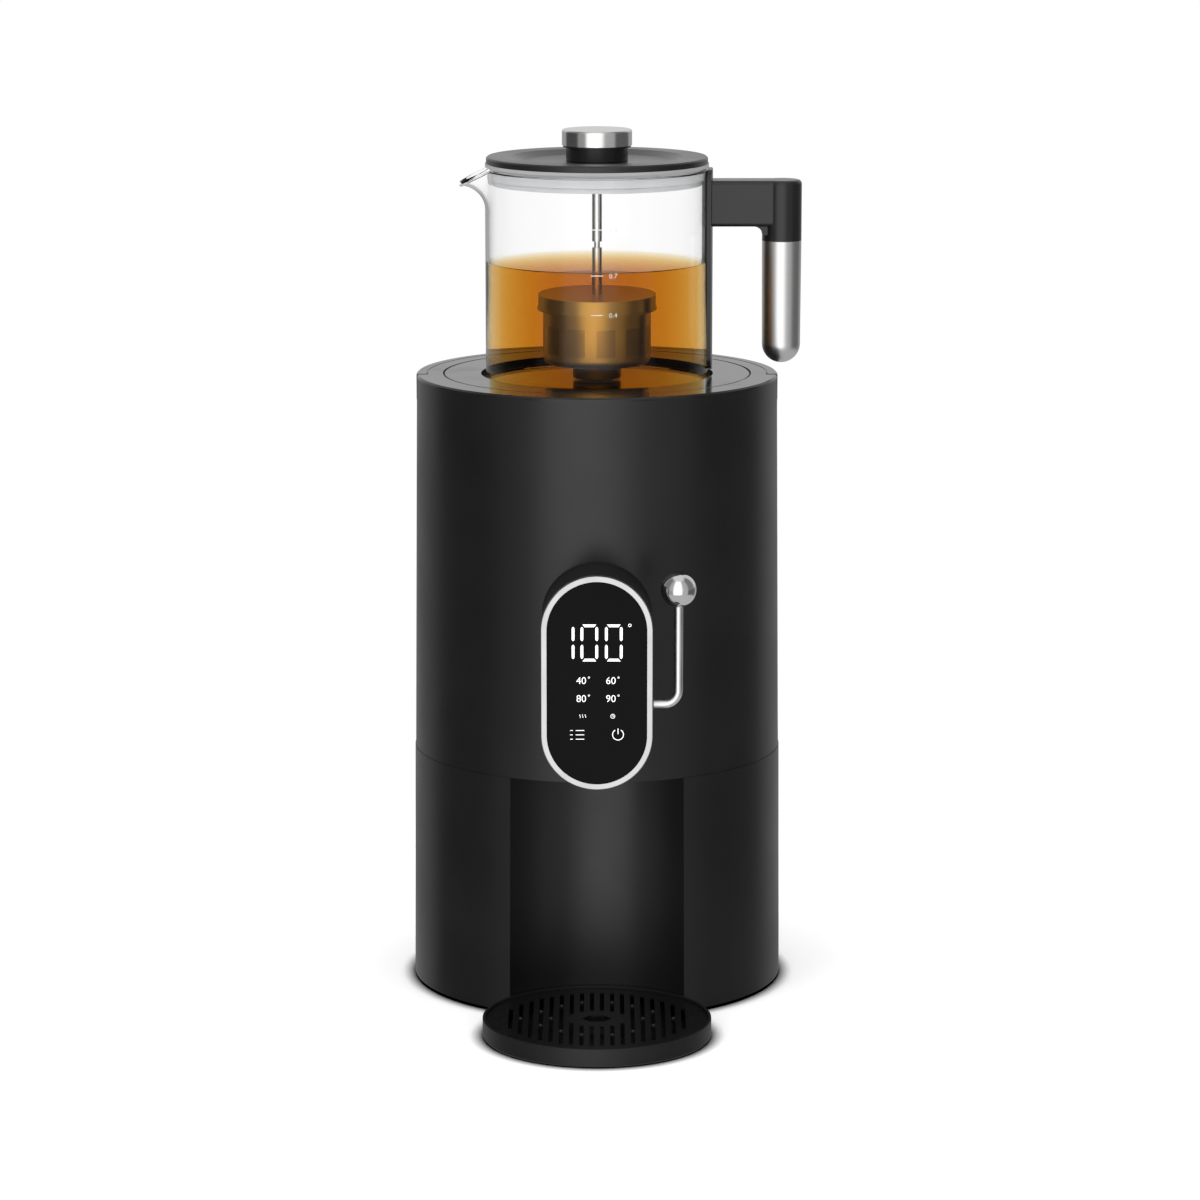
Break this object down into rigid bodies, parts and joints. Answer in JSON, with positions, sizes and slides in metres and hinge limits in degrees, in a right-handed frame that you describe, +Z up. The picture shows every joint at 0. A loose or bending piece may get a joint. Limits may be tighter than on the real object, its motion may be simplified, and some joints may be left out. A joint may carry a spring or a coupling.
{
  "type": "electric samovar",
  "caption": "Electric samovar: black water urn with a lever tap, display, cup alcove and drip tray, and a glass infuser teapot on its lid.",
  "frame": {"origin": "centre of the foot ring on the surface it stands on, below the axis of the round body", "axes": "+Z up along the body axis, -Y towards the person who uses the tap, +X to that person's right"},
  "size_m": [0.2272, 0.3121, 0.5017],
  "materials": {
    "body_black": "satin",
    "rim_black": "satin",
    "inner_plastic": "matte",
    "panel_black": "polished",
    "circuit_board": "satin",
    "clear_plastic": "satin",
    "silver_frame": "satin",
    "cast_aluminium": "matte",
    "brushed_steel": "brushed",
    "tank_steel": "satin",
    "bright_chrome": "polished",
    "inlet_brass": "satin",
    "black_rubber": "matte",
    "pale_silicone": "matte",
    "white_ceramic": "matte",
    "grey_fleece": "matte",
    "clear_glass": "polished"
  },
  "bodies": {
    "housing": {"upper_shell": "body_black", "lower_housing": "body_black", "base_plate": "body_black", "head_housing": "body_black", "spout_nozzle": "body_black", "top_ring": "rim_black", "deck_plate": "inner_plastic", "thermostat": "inner_plastic", "valve_body": "inner_plastic", "valve_cap": "inner_plastic", "lever_bush": "inner_plastic", "power_inlet": "inner_plastic", "board_parts": "inner_plastic", "board_standoffs": "inner_plastic", "display_panel": "panel_black", "digit_display": "panel_black", "display_board": "circuit_board", "main_board": "circuit_board", "head_frame": "silver_frame", "heater_disc": "cast_aluminium", "water_tank": "tank_steel", "heating_element": "tank_steel", "temperature_probe": "tank_steel", "outlet_pipe": "tank_steel", "case_screws": "tank_steel", "hose_clamps": "tank_steel", "inlet_blades": "inlet_brass", "foot_ring": "black_rubber", "wiring": "black_rubber", "outlet_hose": "pale_silicone", "thermal_fuse": "white_ceramic", "insulation_sleeve": "grey_fleece"},
    "carry_bail": {"bail": "rim_black", "bail_pins": "tank_steel"},
    "tap_lever": {"lever_rod": "bright_chrome", "lever_ball": "bright_chrome", "lever_cam": "inner_plastic"},
    "tap_plunger": {"plunger_stem": "tank_steel", "plunger_cup": "pale_silicone", "valve_spring": "tank_steel"},
    "drip_tray": {"tray_pan": "body_black"},
    "grille": {"drip_grille": "body_black"},
    "tank_lid": {"lid_deck": "rim_black", "seat_plate": "brushed_steel", "lid_gasket": "pale_silicone"},
    "teapot": {"pot_glass": "clear_glass", "handle_strap": "body_black", "handle_arm": "body_black", "grip_sleeve": "brushed_steel"},
    "pot_lid": {"lid_cover": "body_black", "lid_seal": "black_rubber", "lid_plug": "clear_plastic", "rod_guide": "body_black"},
    "infuser": {"infuser_rod": "brushed_steel", "knob_neck": "body_black", "knob_cap": "brushed_steel", "basket_cap": "brushed_steel", "infuser_basket": "brushed_steel", "basket_foot": "brushed_steel"}
  },
  "joints": [
    {"name": "bail_swing", "type": "hinge", "parent": "housing", "child": "carry_bail", "pos_m": [0, -0.0055, 0.3568], "axis": [1, 0, 0], "range_deg": [0, 28]},
    {"name": "tap_lever", "type": "hinge", "parent": "housing", "child": "tap_lever", "pos_m": [0, -0.138, 0.192], "axis": [1, 0, 0], "range_deg": [0, 45], "stiffness_Nm_per_rad": 0.05, "springref_deg": -28.65},
    {"name": "tap_plunger", "type": "slide", "parent": "housing", "child": "tap_plunger", "axis": [0, 0, 1], "range_m": [0, 0.005], "deforming": ["valve_spring"]},
    {"name": "tray_pull", "type": "slide", "parent": "housing", "child": "drip_tray", "axis": [0, -1, 0], "range_m": [0, 0.09]},
    {"name": "grille_lift", "type": "slide", "parent": "drip_tray", "child": "grille", "axis": [0, 0, 1], "range_m": [0, 0.03]},
    {"name": "tank_lid_lift", "type": "slide", "parent": "housing", "child": "tank_lid", "axis": [0, 0, 1], "range_m": [0, 0.06]},
    {"name": "teapot_lift", "type": "slide", "parent": "tank_lid", "child": "teapot", "axis": [0, 0, 1], "range_m": [0, 0.06]},
    {"name": "pot_lid_lift", "type": "slide", "parent": "teapot", "child": "pot_lid", "axis": [0, 0, 1], "range_m": [0, 0.13]},
    {"name": "infuser_lift", "type": "slide", "parent": "pot_lid", "child": "infuser", "axis": [0, 0, 1], "range_m": [0, 0.043]}
  ],
  "couplings": [
    {"joint": "tap_plunger", "follows": "tap_lever", "m_per_rad": 0.0063662}
  ]
}
